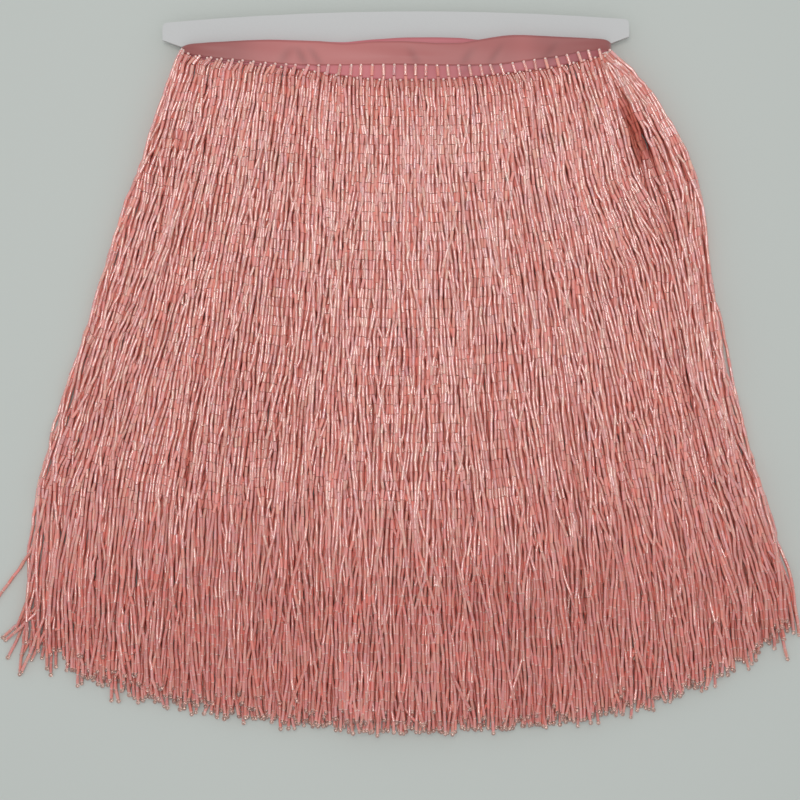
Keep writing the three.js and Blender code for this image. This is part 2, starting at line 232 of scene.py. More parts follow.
class Pile:
    """The height of what lies on the surface, on a fine grid. A strand laid on it rests in its grooves."""

    # The grid: its cells, its size across and down, and how far it begins above the neck.
    CELL = 0.4
    WIDE = 400
    DEEP = 360
    ABOVE = 24

    # Where each bead is sampled, along its length and across it, and its outline there.
    ALONG = np.linspace(0, 1, 12)
    ACROSS = np.array([-0.92, -0.5, 0, 0.5, 0.92]) * BEAD_RADIUS
    PROFILE = np.sqrt(BEAD_RADIUS ** 2 - ACROSS ** 2)

    # How a strand lies: its steepest slope, its height on the bare surface, how far it sinks into a groove,
    # how far aside it looks for one, what a turn aside costs there, and how its height is evened out over
    # five joints, from which joint on.
    STEEPEST = 0.3
    REST = 0.88
    SINK = 0.3
    SHIFTS = 0.4 * np.arange(-6, 7)
    TURN_COST = 0.12
    EVEN = np.array([0.15, 0.2, 0.3, 0.2, 0.15])
    EVEN_FROM = 3

    # What rises over PRESSED_FROM is pressed down to a share of its rise. In a free strand this begins at
    # FREE_TO down and is full from HELD_FROM on.
    PRESSED_FROM = 9.0
    PRESSED = 0.3
    FREE_TO = 14
    HELD_FROM = 40

    # How far a bead may lie under the pile's top and still count as seen.
    SEEN_UNDER = 0.1

    def __init__(self):
        cells = (int(self.WIDE / self.CELL), int(self.DEEP / self.CELL))
        self.height = np.zeros(cells)

    def cells(self, x, down):
        i = np.clip(((x + self.WIDE / 2) / self.CELL).astype(int), 0, self.height.shape[0] - 1)
        j = np.clip(((down + self.ABOVE) / self.CELL).astype(int), 0, self.height.shape[1] - 1)
        return i, j

    def samples(self, x, down):
        """Points along and across each straight step of a path."""
        run_x, run_d = np.diff(x), np.diff(down)
        length = np.hypot(run_x, run_d)
        side_x, side_d = -run_d / length, run_x / length
        along, across = self.ALONG[None, :, None], self.ACROSS[None, None, :]
        px = x[:-1, None, None] + run_x[:, None, None] * along + side_x[:, None, None] * across
        pd = down[:-1, None, None] + run_d[:, None, None] * along + side_d[:, None, None] * across
        return px, pd

    def settle(self, x, down):
        """The same strand, moved a little sideways at each joint to where the pile is lowest."""
        count = len(self.SHIFTS)
        ground = np.array([self.height[self.cells(*self.samples(x + shift, down))].mean(axis=(1, 2))
                           for shift in self.SHIFTS])
        total = np.full(count, np.inf)
        total[count // 2] = 0
        came = []
        for bead in ground.T:
            blocked = np.array([np.inf])
            options = np.stack([
                np.concatenate([blocked, total[:-1]]) + self.TURN_COST,
                total,
                np.concatenate([total[1:], blocked]) + self.TURN_COST,
            ])
            pick = options.argmin(axis=0)
            came.append(pick - 1)
            total = options.min(axis=0) + bead
        place = int(total.argmin())
        route = [place]
        for pick in reversed(came):
            place += int(pick[place])
            route.append(place)
        moved = self.SHIFTS[route[::-1]]
        moved[1:-1] = moved[1:-1] / 2 + (moved[:-2] + moved[2:]) / 4
        x = x + moved
        aside = np.clip(np.diff(x), -STEEP_ASIDE, STEEP_ASIDE)
        x = x[0] + np.concatenate([[0], np.cumsum(aside)])
        down = down[0] + np.concatenate([[0], np.cumsum(np.sqrt(BEAD_PITCH ** 2 - aside ** 2))])
        return x, down

    def lay(self, x, down, root, ceiling=None, free=False):
        """The heights of a strand's joints when it is laid on the pile, which then holds it too."""
        i, j = self.cells(*self.samples(x, down))
        needed = self.height[i, j] + self.PROFILE - self.SINK
        half = len(self.ALONG) // 2
        start = needed[:, :half].max(axis=(1, 2))
        end = needed[:, half:].max(axis=(1, 2))
        z = np.full(len(x), self.REST)
        z[:-1] = np.maximum(z[:-1], start)
        z[1:] = np.maximum(z[1:], end)
        z[0] = root
        if ceiling is not None:
            z = np.minimum(z, ceiling)
        drop = self.STEEPEST * BEAD_PITCH
        for k in range(1, len(z)):
            z[k] = max(z[k], z[k - 1] - drop)
        for k in range(len(z) - 2, 0, -1):
            z[k] = max(z[k], z[k + 1] - drop)
        if ceiling is not None:
            z = np.minimum(z, ceiling)
        over = np.maximum(z - self.PRESSED_FROM, 0) * (1 - self.PRESSED)
        if free:
            over = over * np.clip((down - self.FREE_TO) / (self.HELD_FROM - self.FREE_TO), 0, 1)
        z = z - over
        even = np.convolve(np.pad(z, 2, mode="edge"), self.EVEN, mode="valid")
        evened = np.maximum(np.maximum(even, z - self.SINK), self.REST)
        z[self.EVEN_FROM:] = evened[self.EVEN_FROM:]
        line = z[:-1, None] + np.diff(z)[:, None] * self.ALONG[None, :]
        np.maximum.at(self.height, (i, j), line[:, :, None] + self.PROFILE)
        return z

    def cover(self, inside, top):
        """Something solid with this top lies where inside(x, down) is true."""
        x = (np.arange(self.height.shape[0]) + 0.5) * self.CELL - self.WIDE / 2
        down = (np.arange(self.height.shape[1]) + 0.5) * self.CELL - self.ABOVE
        where = inside(x[:, None], down[None, :])
        self.height[where] = np.maximum(self.height[where], top)

    def shown(self, x, down, z):
        """How much of each straight step is seen from above, from 0 to 1."""
        i, j = self.cells(*self.samples(x, down))
        line = z[:-1, None] + np.diff(z)[:, None] * self.ALONG[None, :]
        own = line[:, :, None] + self.PROFILE
        return (own > self.height[i, j] - self.SEEN_UNDER).mean(axis=(1, 2))


# Side strands that stray from the fringe: the row and the side they belong to, how far aside the tip lies,
# the depth where the strand leaves the others and the depth of its tip. They start at STRAY_SHARE of the
# neck.
STRAY_SHARE = 0.99
STRAY_CURVE = 1.6
STRAY_MOST = 1.5
STRAYS = (
    {"row": 12, "side": -1, "aside": -17, "leaves": 222, "tip": 254},
    {"row": 14, "side": -1, "aside": -9, "leaves": 235, "tip": 262},
    {"row": 9, "side": -1, "aside": -17, "leaves": 240, "tip": 267},
    {"row": 16, "side": -1, "aside": -14, "leaves": 252, "tip": 270},
    {"row": 7, "side": -1, "aside": -10, "leaves": 246, "tip": 276},
    {"row": 18, "side": -1, "aside": -10, "leaves": 256, "tip": 281},
    {"row": 11, "side": -1, "aside": -4, "leaves": 240, "tip": 285},
    {"row": 13, "side": 1, "aside": 6, "leaves": 130, "tip": 262},
    {"row": 9, "side": 1, "aside": 4, "leaves": 190, "tip": 255},
    {"row": 15, "side": 1, "aside": 5, "leaves": 215, "tip": 268},
    {"row": 11, "side": 1, "aside": 4, "leaves": 240, "tip": 274},
)

# How a strand wanders. Of its sideways speed it keeps a share from bead to bead, it is drawn back to its
# guide, and it is pushed and kinked at random. Near its root it is calmer.
SPEED_KEPT = 0.88
DRAWN_BACK = 0.016
PUSH = 0.17
KINK = 0.2
CALM_DEPTH = 60
CALM_LEAST = 0.25

# How far strands cross their neighbours, as a share of the neck: everywhere, how much more at the sides, and
# by which depth. The sides begin at SIDE_FROM and reach the neck's end SIDE_OVER further out. In front of
# the card the strands beyond STRAIGHT_FROM at the right don't cross.
LEAN = 0.014
LEAN_SIDE = 0.035
LEAN_DEPTH = 55
SIDE_FROM = 0.55
SIDE_OVER = 0.45
STRAIGHT_FROM = 0.75

# Some strands flick aside in their last beads.
FLICK_SHARE = 0.09
FLICK_TURN = 0.42
FLICK_BEADS = (3, 9)


def stray_columns(row, shares):
    """How far aside each of a row's strands strays, where it leaves the others, and the depth of its tip."""
    aside = np.zeros(len(shares))
    leaves = np.zeros(len(shares))
    tip = np.full(len(shares), BEADS * BEAD_PITCH)
    for stray in STRAYS:
        if stray["row"] == row:
            outermost = shares.argmin() if stray["side"] < 0 else shares.argmax()
            aside[outermost] = stray["aside"]
            leaves[outermost] = stray["leaves"]
            tip[outermost] = stray["tip"]
    return aside, leaves, tip


def strand_paths(shares, row, root_down, swept):
    """x and down of every joint of one row's strands, each a chain of straight steps one bead long."""
    count = len(shares)
    joints = BEADS + 1
    x = np.empty((count, joints))
    down = np.empty((count, joints))
    down[:, 0] = root_down
    x[:, 0] = NECK_HALF * shares
    drift = np.zeros(count)
    speed = np.zeros(count)
    flick = random.normal(0, FLICK_TURN, count) * (random.random(count) < FLICK_SHARE)
    flick_from = joints - random.integers(*FLICK_BEADS, count)
    stray, leaves, tip = stray_columns(row, shares)
    outer = np.clip((np.abs(shares) - SIDE_FROM) / SIDE_OVER, 0, 1)
    lean = random.normal(0, LEAN, count) + random.normal(0, LEAN_SIDE, count) * outer
    lean = np.where((shares > STRAIGHT_FROM) & (swept > 0), 0, lean)
    led = np.where(stray != 0, shares, np.clip(shares + lean, -1, 1))
    for k in range(1, joints):
        here = down[:, k - 1]
        calm = np.clip(here / CALM_DEPTH, CALM_LEAST, 1)
        speed = SPEED_KEPT * speed - DRAWN_BACK * drift + random.normal(0, PUSH, count)
        drift = drift + speed * calm
        kink = random.normal(0, KINK, count)
        goal_down = here + BEAD_PITCH
        crossed = np.clip(goal_down / LEAN_DEPTH, 0, 1)
        goal = guide_x(shares + (led - shares) * crossed, goal_down, swept)
        goal = goal + lock_pull(goal, goal_down, row) + drift + kink
        eased = np.clip((goal_down - leaves) / (tip - leaves), 0, STRAY_MOST)
        goal = goal + stray * eased ** STRAY_CURVE
        drift = drift + np.where(k >= flick_from, flick * BEAD_PITCH, 0)
        aside = np.clip(goal - x[:, k - 1], -STEEP_ASIDE, STEEP_ASIDE)
        x[:, k] = x[:, k - 1] + aside
        down[:, k] = here + np.sqrt(BEAD_PITCH ** 2 - aside ** 2)
    return x, down


def row_shares(row, filling=False):
    """Where along the neck a row's strands start. A filling row crowds them towards the right."""
    offset = (row * ROW_SHIFT) % 1.0
    along = (np.arange(STRANDS) + offset) / STRANDS
    shares = -1 + 2 * (along ** FILLING_POWER if filling else along)
    return np.clip(shares + random.normal(0, SHARE_NOISE, STRANDS), -SHARE_LIMIT, SHARE_LIMIT)


def lay_row(pile, paths, row, shares, root_down, root, swept=0.0, ceiling=None, free=False):
    """One row's strands, laid in a random order. Down to BEHIND_CARD they stay under a ceiling if given."""
    stray, _, tip = stray_columns(row, shares)
    shares = np.where(stray != 0, np.sign(stray) * STRAY_SHARE, shares)
    x, down = strand_paths(shares, row, root_down, swept)
    short = (end_short(100 * shares) + random.uniform(0, END_UNEVEN, len(shares))).astype(int)
    for s in random.permutation(len(shares)):
        beads = BEADS - short[s]
        if stray[s]:
            beads = int(np.searchsorted(down[s], tip[s]))
        path_x, path_down = pile.settle(x[s][: beads + 1], down[s][: beads + 1])
        most = None if ceiling is None else np.where(path_down < BEHIND_CARD, ceiling, np.inf)
        z = pile.lay(path_x, path_down, root, most, free)
        paths.append((path_x, path_down, z))


def in_band(x, down):
    """Where the second turn of the ribbon shows below the outer one."""
    return (np.abs(x) < NECK_HALF) & (down > header_edge(x)) & (down < header_band(x))


def lay_behind(pile, fringe):
    """The rows behind the card, from the surface up."""
    nodes = ("fringe_back_outer", "fringe_back_second", "fringe_back_inner")
    highest_root = CARD_LOW[2] - BACK_ROOT_UNDER
    ceiling = CARD_LOW[2] - BEAD_RADIUS - CARD_GAP
    for row in range(BACK_ROWS):
        paths = fringe.setdefault(nodes[row * len(nodes) // BACK_ROWS], [])
        shares = row_shares(row, row < FILLING_ROWS)
        root = pile.REST + (highest_root - pile.REST) * row / (BACK_ROWS - 1)
        below = header_edge(NECK_HALF * shares) + BACK_ROOT_DOWN + BACK_ROOT_STEP * row
        lay_row(pile, paths, row, shares, below, root, ceiling=ceiling)


def lay_ahead(pile, fringe):
    """The rows in front of the card. The last two leave the second turn and the outer one, and lie free."""
    nodes = ("fringe_front_inner", "fringe_front_second", "fringe_front_outer")
    root_range = WINDING_TOP - CARD_HIGH[2] - FRONT_ROOT_MARGINS
    for row in range(FRONT_ROWS):
        paths = fringe.setdefault(nodes[row * len(nodes) // FRONT_ROWS], [])
        shares = row_shares(row + FRONT_ROW_SHIFT)
        if row in CORNER_ROWS:
            shares = np.concatenate([shares, CORNER_SHARES])
        if row in HOLLOW_ROWS:
            shares = np.concatenate([shares, HOLLOW_SHARES])
        neck = NECK_HALF * shares
        if row == FRONT_ROWS - 1:
            pile.cover(in_band, WINDING_TOP - SECOND_LOWER)
            below, root = header_edge(neck) + SEED_RADIUS, WINDING_TOP
        elif row == FRONT_ROWS - 2:
            below, root = header_band(neck) + SEED_RADIUS, WINDING_TOP - SECOND_LOWER
        else:
            below = header_band(neck) - UNDER_BAND
            root = CARD_HIGH[2] + FRONT_ROOT_OVER + root_range * row / (FRONT_ROWS - 1)
        lay_row(pile, paths, row + BACK_ROWS, shares, below, root, swept=1.0, free=row >= FRONT_ROWS - 2)


def lay_fringe():
    """The pile of all the strands, and the joints of each strand, by the node that the strand stands for."""
    pile = Pile()
    fringe = {}
    lay_behind(pile, fringe)
    card_foot = NECK_Y - CARD_LOW[1]
    pile.cover(lambda x, down: (np.abs(x) < NECK_HALF) & (down < card_foot), CARD_HIGH[2])
    lay_ahead(pile, fringe)
    return pile, fringe


# A tube bead's form is one long, so its ends lie this far from its middle.
TUBE_END = 0.5


def tube(sides, levels):
    """A straight tube bead one long and one in radius, along z, with a ring of corners at each level."""
    turn = 2 * math.pi * np.arange(sides) / sides
    ring = np.stack([np.cos(turn), np.sin(turn), np.zeros(sides)], axis=1)
    corners = np.concatenate([ring + [0, 0, level] for level in levels])
    faces = []
    for low in range(0, sides * (len(levels) - 1), sides):
        for k in range(sides):
            after = (k + 1) % sides
            faces.append([low + k, low + after, low + sides + after, low + sides + k])
    smooth = [True] * len(faces) + [False, False]
    faces.append(list(range(sides))[::-1])
    faces.append(list(range(sides * (len(levels) - 1), sides * len(levels))))
    return corners, faces, smooth


def ball(sides, rings):
    """A round bead with radius one: corners, and faces as lists of corners."""
    corners = [[0, 0, -1]]
    for ring in range(1, rings):
        tilt = math.pi * ring / rings
        wide, high = math.sin(tilt), -math.cos(tilt)
        for k in range(sides):
            turn = 2 * math.pi * k / sides
            corners.append([wide * math.cos(turn), wide * math.sin(turn), high])
    corners.append([0, 0, 1])
    top = len(corners) - 1
    faces = [[0, 1 + (k + 1) % sides, 1 + k] for k in range(sides)]
    for ring in range(rings - 2):
        low = 1 + ring * sides
        for k in range(sides):
            after = (k + 1) % sides
            faces.append([low + k, low + after, low + sides + after, low + sides + k])
    last = top - sides
    faces += [[last + k, last + (k + 1) % sides, top] for k in range(sides)]
    return np.array(corners), faces, [True] * len(faces)


def frames(ends_a, ends_b, rolls):
    """The middle of each bead and its three axes, the third along the bead."""
    along = ends_b - ends_a
    along /= np.linalg.norm(along, axis=1, keepdims=True)
    side = np.cross(along, [0.0, 0.0, 1.0])
    side /= np.linalg.norm(side, axis=1, keepdims=True)
    up = np.cross(side, along)
    c, s = np.cos(rolls)[:, None], np.sin(rolls)[:, None]
    return (ends_a + ends_b) / 2, side * c + up * s, up * c - side * s, along


# Which ring of a tube a corner belongs to. The edges within the first and the last ring are sharp.
FIRST_RING, LAST_RING, NO_RING = 0, 1, 2


class Batch:
    """Many copies of small forms, gathered into one mesh with a colour and a finish for each copy."""

    def __init__(self):
        self.corners, self.faces, self.sizes, self.smooth = [], [], [], []
        self.tints, self.rings, self.finishes = [], [], []
        self.count = 0
        self.triangles = 0

    def add(self, form, centres, a, b, c, scale, tints, finish, end_glints=None):
        """Copies of one form at these centres, turned to the axes a, b and c."""
        corners, faces, smooth = form
        copies = len(centres)
        if not copies:
            return
        points = centres[:, None, :] + (
            corners[None, :, 0, None] * (a * scale[:, 0:1])[:, None, :]
            + corners[None, :, 1, None] * (b * scale[:, 1:2])[:, None, :]
            + corners[None, :, 2, None] * (c * scale[:, 2:3])[:, None, :]
        )
        sizes = np.array([len(face) for face in faces])
        flat = np.concatenate([np.array(face) for face in faces])
        offsets = self.count + np.arange(copies)[:, None] * len(corners)
        self.corners.append(points.reshape(-1, 3))
        self.faces.append((flat[None, :] + offsets).reshape(-1))
        self.sizes.append(np.tile(sizes, copies))
        self.smooth.append(np.tile(smooth, copies))
        colours = np.repeat(tints[:, None, :], len(corners), axis=1)
        # A tube's last ring may take its own colour, a painted glint of pale light at the bead's end.
        if end_glints is not None:
            colours[:, corners[:, 2] == TUBE_END] = end_glints[:, None, :]
        self.tints.append(colours.reshape(-1, 3))
        self.finishes.append(np.repeat(finish, len(faces)))
        level = corners[:, 2]
        ring = np.select([level == -TUBE_END, level == TUBE_END], [FIRST_RING, LAST_RING], NO_RING)
        self.rings.append(np.tile(ring, copies))
        self.count += copies * len(corners)
        self.triangles += copies * int((sizes - 2).sum())

    def build(self, name, materials):
        """One object of all the copies."""
        corners = np.concatenate(self.corners)
        faces = np.concatenate(self.faces).astype(np.int32)
        sizes = np.concatenate(self.sizes).astype(np.int32)
        mesh = bpy.data.meshes.new(name)
        mesh.vertices.add(len(corners))
        mesh.vertices.foreach_set("co", to_frame(corners).astype(np.float32).ravel())
        mesh.loops.add(len(faces))
        mesh.loops.foreach_set("vertex_index", faces)
        mesh.polygons.add(len(sizes))
        starts = np.concatenate([[0], np.cumsum(sizes)[:-1]])
        mesh.polygons.foreach_set("loop_start", starts.astype(np.int32))
        mesh.polygons.foreach_set("use_smooth", np.concatenate(self.smooth))
        for material in materials:
            mesh.materials.append(material)
        mesh.polygons.foreach_set("material_index", np.concatenate(self.finishes).astype(np.int32))
        set_tints(mesh, np.concatenate(self.tints))
        mesh.update(calc_edges=True)
        edges = np.empty(2 * len(mesh.edges), np.int32)
        mesh.edges.foreach_get("vertices", edges)
        rings = np.concatenate(self.rings)[edges].reshape(-1, 2)
        sharp = mesh.attributes.new("sharp_edge", "BOOLEAN", "EDGE")
        sharp.data.foreach_set("value", (rings[:, 0] == rings[:, 1]) & (rings[:, 0] != NO_RING))
        return put_in_scene(name, mesh)


def put_in_scene(name, data):
    made = bpy.data.objects.new(name, data)
    bpy.context.scene.collection.objects.link(made)
    return made


def set_tints(mesh, colours):
    """A colour at each corner of a mesh, which its material reads as tint."""
    tint = mesh.attributes.new("tint", "FLOAT_COLOR", "POINT")
    opaque = np.hstack([colours, np.ones((len(colours), 1))])
    tint.data.foreach_set("color", opaque.astype(np.float32).ravel())


def to_frame(points):
    """Neck millimetres to the frame's metres: the second column is y, upwards on the picture."""
    return (points + [NECK_X, NECK_Y, 0]) * MM


# Bead colours: the glass, the tones of its coating, a painted glint of pale light for the cut ends, a
# painted red glow of light through the glass for beads hidden in the pile, and the seed beads at the tip and
# at the root. A bead takes up to
# COAT_MOST of a tone, spread by COAT_SPREAD.
GLASS = np.array([0.965, 0.385, 0.33])
COATS = np.array([[1.0, 0.59, 0.46], [0.97, 0.43, 0.44], [0.93, 0.51, 0.55], [0.97, 0.62, 0.48]])
COAT_SPREAD = (1.3, 2.6)
COAT_MOST = 0.6
TONE_NOISE = 0.05
STRAND_TONE_NOISE = 0.04
DARKEST = 0.02
END_GLINT_PAINT = np.array([1.0, 0.68, 0.60])
GAP_GLOW_PAINT = np.array([1.0, 0.29, 0.22])
TIP_TINT = np.array([0.86, 0.58, 0.50])
ROOT_TINT = np.array([0.97, 0.60, 0.54])

# How many beads in a hundred have each finish, by material slot.
FINISHES = (
    {"name": "silvered", "percent": 40, "roughness": 0.13, "ior": 2.1, "coat": 1.0, "through": 0.0},
    {"name": "coated", "percent": 48, "roughness": 0.14, "ior": 1.6, "coat": 0.7, "through": 0.15},
    {"name": "frosted", "percent": 12, "roughness": 0.5, "ior": 1.4, "coat": 0.0, "through": 0.0},
)

# The finish of beads that don't gleam, and the two materials of the seed beads' mesh.
DULL_FINISH = 2
CLEAR_SEED, SILVERY_SEED = 0, 1

# From ENDS_FROM down the beads' colour is painted darker, a painted shade where the glass gleams less, and
# the cut ends of the beads get a painted glint of pale light that shows as pale arcs, fully so from
# ENDS_FULL down. An end whose painted glint is stronger than PALE_FROM gets a ring of its own.
ENDS_FROM = 205
ENDS_FULL = 250
PALE_CURVE = 0.6
PALE_FROM = 0.1
LOWER_PAINTED_SHADE = np.array([0.12, 0.27, 0.29])

# The hollow beside the right corner, where the strands inside gleam less and a painted dark red shade
# darkens their colour.
HOLLOW = {"x": 109, "down": 36, "wide": 10, "deep": 20}
HOLLOW_PAINTED_SHADE = np.array([0.62, 0.36, 0.30])
HOLLOW_DULL = 0.5


def bead_tints(count, strand_tone):
    """A colour for each bead: the glass, shifted towards one of the coating's tones."""
    pick = random.integers(0, len(COATS), count)
    share = random.beta(*COAT_SPREAD, count)[:, None] * COAT_MOST
    light = (1 + random.normal(0, TONE_NOISE, count) + strand_tone)[:, None]
    return np.clip((GLASS * (1 - share) + COATS[pick] * share) * light, DARKEST, 1)


def in_hollow(x, down):
    """How far inside the hollow a place lies, from 0 to 1."""
    across = (x - HOLLOW["x"]) / HOLLOW["wide"]
    along = (down - HOLLOW["down"]) / HOLLOW["deep"]
    return np.exp(-(across ** 2 + along ** 2) ** 2)


# The forms of a bead. One that is seen has six sides, and a ring where its painted end glint begins if it
# has one. A hidden one has four, or three where it lies more than DEEP_FROM over the surface.
PALE_LEVEL = 0.36
NEAR_TUBE = tube(6, (-TUBE_END, TUBE_END))
ENDED_TUBE = tube(6, (-TUBE_END, PALE_LEVEL, TUBE_END))
ENDED_LENGTH = 4.37
FAR_TUBE = tube(4, (-TUBE_END, TUBE_END))
DEEP_TUBE = tube(3, (-TUBE_END, TUBE_END))
DEEP_FROM = 2.6
TIP_FORM = ball(8, 6)
ROOT_FORM = ball(8, 5)

# By the share of a bead that shows from above: over SEEN it has its full form, under DULL_BELOW it doesn't
# gleam, and from SHOWN_FULLY on it has its own colour, while under it its colour is painted towards a red
# glow of light through the glass in the pile's gaps.
SEEN = 0.12
DULL_BELOW = 0.25
SHOWN_FULLY = 0.4

# How uneven the beads are, and how far beyond the strand's end a seed bead's middle lies, in its radii.
RADIUS_NOISE = 0.03
RADIUS_RANGE = (0.93, 1.07)
TIP_SIZES = (0.85, 1.1)
TIP_BEYOND = 0.9
ROOT_BEYOND = 0.6

# A piece is closed and the next one begun when it has this many triangles.
PIECE_TRIANGLES = 188_000


def add_strand(batch, path, pile, hollow):
    """One strand's tube beads, each with its form, its colour and its finish."""
    x, down, z = path
    points = np.stack([x, -down, z], axis=1)
    count = len(points) - 1
    centre, a, b, c = frames(points[:-1], points[1:], random.uniform(0, math.pi, count))
    radius = BEAD_RADIUS * np.clip(1 + random.normal(0, RADIUS_NOISE, count), *RADIUS_RANGE)
    scale = np.stack([radius, radius, np.full(count, BEAD_LENGTH)], axis=1)
    tints = bead_tints(count, random.normal(0, STRAND_TONE_NOISE))
    finish = random.choice(len(FINISHES), count, p=[kind["percent"] / 100 for kind in FINISHES])
    shown = pile.shown(x, down, z)
    finish[shown < DULL_BELOW] = DULL_FINISH
    if hollow:
        inside = in_hollow(centre[:, 0], -centre[:, 1])
        # Painted shade: inside the hollow the beads' colour is darkened towards dark red.
        tints = tints * (1 - (1 - HOLLOW_PAINTED_SHADE) * inside[:, None])
        finish[inside > HOLLOW_DULL] = DULL_FINISH
    # Painted light: beads that show little from above are coloured towards a red glow, standing in for light
    # through the glass in the pile's gaps.
    tints = GAP_GLOW_PAINT + (tints - GAP_GLOW_PAINT) * np.clip(shown / SHOWN_FULLY, 0, 1)[:, None]
    lower = np.clip((down[1:] - ENDS_FROM) / (ENDS_FULL - ENDS_FROM), 0, 1)
    # Painted shade: towards the tips the beads' colour is darkened where they gleam less.
    tints = tints * (1 - LOWER_PAINTED_SHADE * lower[:, None])
    # Painted highlight: the beads' cut ends get a glint of pale light that shows as pale arcs.
    glint = random.random(count) ** PALE_CURVE * lower
    end_glints = tints + (END_GLINT_PAINT - tints) * glint[:, None]
    near = shown > SEEN
    deep = ~near & (centre[:, 2] > DEEP_FROM)
    ended = near & (glint > PALE_FROM)
    scale[ended, 2] = ENDED_LENGTH
    forms = (
        (NEAR_TUBE, near & ~ended),
        (ENDED_TUBE, ended),
        (FAR_TUBE, ~near & ~deep),
        (DEEP_TUBE, deep),
    )
    for form, chosen in forms:
        batch.add(form, centre[chosen], a[chosen], b[chosen], c[chosen], scale[chosen],
                  tints[chosen], finish[chosen], end_glints[chosen])


def add_seed(batch, form, centre, size, tint, slot):
    """One seed bead, with the material in this slot of its mesh."""
    axes = [axis[None, :] for axis in np.eye(3)]
    batch.add(form, centre[None, :], *axes, np.full((1, 3), size), tint[None, :], np.array([slot]))


def add_seeds(batch, path):
    """The clear seed bead at a strand's tip and the silvery one at its root."""
    x, down, z = path
    points = np.stack([x, -down, z], axis=1)
    size = TIP_RADIUS * random.uniform(*TIP_SIZES)
    tip = points[-1] + (points[-1] - points[-2]) / BEAD_PITCH * size * TIP_BEYOND
    tip[2] = max(tip[2], size)
    add_seed(batch, TIP_FORM, tip, size, TIP_TINT, CLEAR_SEED)
    root = points[0] - (points[1] - points[0]) / BEAD_PITCH * SEED_RADIUS * ROOT_BEYOND
    add_seed(batch, ROOT_FORM, root, SEED_RADIUS, ROOT_TINT, SILVERY_SEED)


def make_strands(node, paths, pile, materials, seed_material):
    """Joined meshes of the tube beads of one node's strands, and one of their seed beads."""
    made = []
    batch, part = Batch(), 1
    seeds = Batch()
    for path in paths:
        add_strand(batch, path, pile, node not in SWEPT_NODES)
        if batch.triangles > PIECE_TRIANGLES:
            made.append(batch.build(f"{node}_beads_{part}", materials))
            batch, part = Batch(), part + 1
        add_seeds(seeds, path)
    if batch.count:
        made.append(batch.build(f"{node}_beads_{part}", materials))
    made.append(seeds.build(f"{node}_seed_beads", [seed_material, materials[0]]))
    return made


# The wound ribbon: one strip that goes round the card, TURN_PITCH higher and END_PITCH further out on each
# turn. FINE_TURNS is how many of the outer turns have more corners along the card. All turns have more
# corners near the card's edges than between them, and no corner lies lower than LOWEST.
RIBBON_WIDTH = 12.0
RIBBON_COLUMNS = 13
RIBBON_THICK = 0.2
TURNS = 11
FINE_TURNS = 3
TURN_PITCH = 0.42
FIRST_TURN = 0.35
END_REACH = 96.3
END_PITCH = 0.18
CORNER = 20
FINE_STEPS = 150
PLAIN_STEPS = 40
END_SHARES = np.linspace(0.94, 0.999, 7)
MIDDLE_SHARE = 0.93
LOWEST = 0.18

# Soft creases across the ribbon: where they start at the lower edge, how far they slant by the top edge, how
# wide they are, and how deep they are, which also sets how much painted shade darkens the satin in them.
# They fade out towards the top edge.
CREASE_FADE = 0.15
CREASES = (
    {"x": -52, "slant": 5, "wide": 2.4, "depth_and_shade": 0.19},
    {"x": -41, "slant": -5, "wide": 2.0, "depth_and_shade": 0.27},
    {"x": -34, "slant": -7, "wide": 1.8, "depth_and_shade": 0.24},
    {"x": 10, "slant": -5, "wide": 2.0, "depth_and_shade": 0.19},
    {"x": 30, "slant": 6, "wide": 2.4, "depth_and_shade": 0.19},
    {"x": 42, "slant": 8, "wide": 2.0, "depth_and_shade": 0.19},
    {"x": 68, "slant": 6, "wide": 2.2, "depth_and_shade": 0.16},
)

# The satin of the outer turn, a lighter copy of it for the other turns whose extra lightness is painted
# sheen, and the
# painted sheen and shade along the ribbon: lighter in the middle, darker towards its ends.
SATIN = np.array([0.485, 0.150, 0.142])
SATIN_INNER_PAINTED_SHEEN = np.array([0.585, 0.168, 0.187])
SATIN_SHEEN_AND_SHADE = (
    {"x": -98, "light": 0.72},
    {"x": -88, "light": 0.80},
    {"x": -72, "light": 0.84},
    {"x": -62, "light": 1.06},
    {"x": -40, "light": 1.16},
    {"x": -18, "light": 1.16},
    {"x": 10, "light": 1.04},
    {"x": 34, "light": 1.0},
    {"x": 52, "light": 0.94},
    {"x": 58, "light": 1.06},
    {"x": 66, "light": 0.84},
    {"x": 98, "light": 0.74},
)
satin_sheen_and_shade = column(SATIN_SHEEN_AND_SHADE, "x", "light", soft=2.5)

# The ribbon's folds across its width, where it is gathered near the neck's ends, and its slow waves. Of what
# stands out of its plane FOLD_SHARE is shown, and no more than FOLD_IN_MOST of it inwards.
GATHER = {"from": 70, "over": 30, "curve": 1.5, "folds": 1.6, "phase": 0.3, "slant": 0.02, "deep": 0.4}
WAVES = {"along": 0.11, "across": 5, "deep": 0.12}
CREASE_DEEP = 0.9
FOLD_IN_MOST = 0.5
FOLD_SHARE = 0.6

# How much the turns differ in place: behind the card, and under the outer turns in front of it, where they
# are also a little wider. Near the neck's ends they draw together.
SQUEEZE = {"end": 98.3, "over": 14}
BACK_SHIFT = {"by": 0.5, "turn": 2.1}
INNER_SHIFT = {"by": 0.6, "turn": 1.7, "edge": -1.2, "top": 0.2}


def loop_shares(steps):
    """Shares of the reach at which the ribbon has corners along one side of the card."""
    middle = np.linspace(-MIDDLE_SHARE, MIDDLE_SHARE, steps)
    return np.concatenate([-END_SHARES[::-1], middle, END_SHARES])


def turn_height(share):
    """How the winding gets thinner towards the card's edges, from 1 to 0."""
    return np.sqrt(np.clip(1 - np.abs(share) ** CORNER, 0, 1))


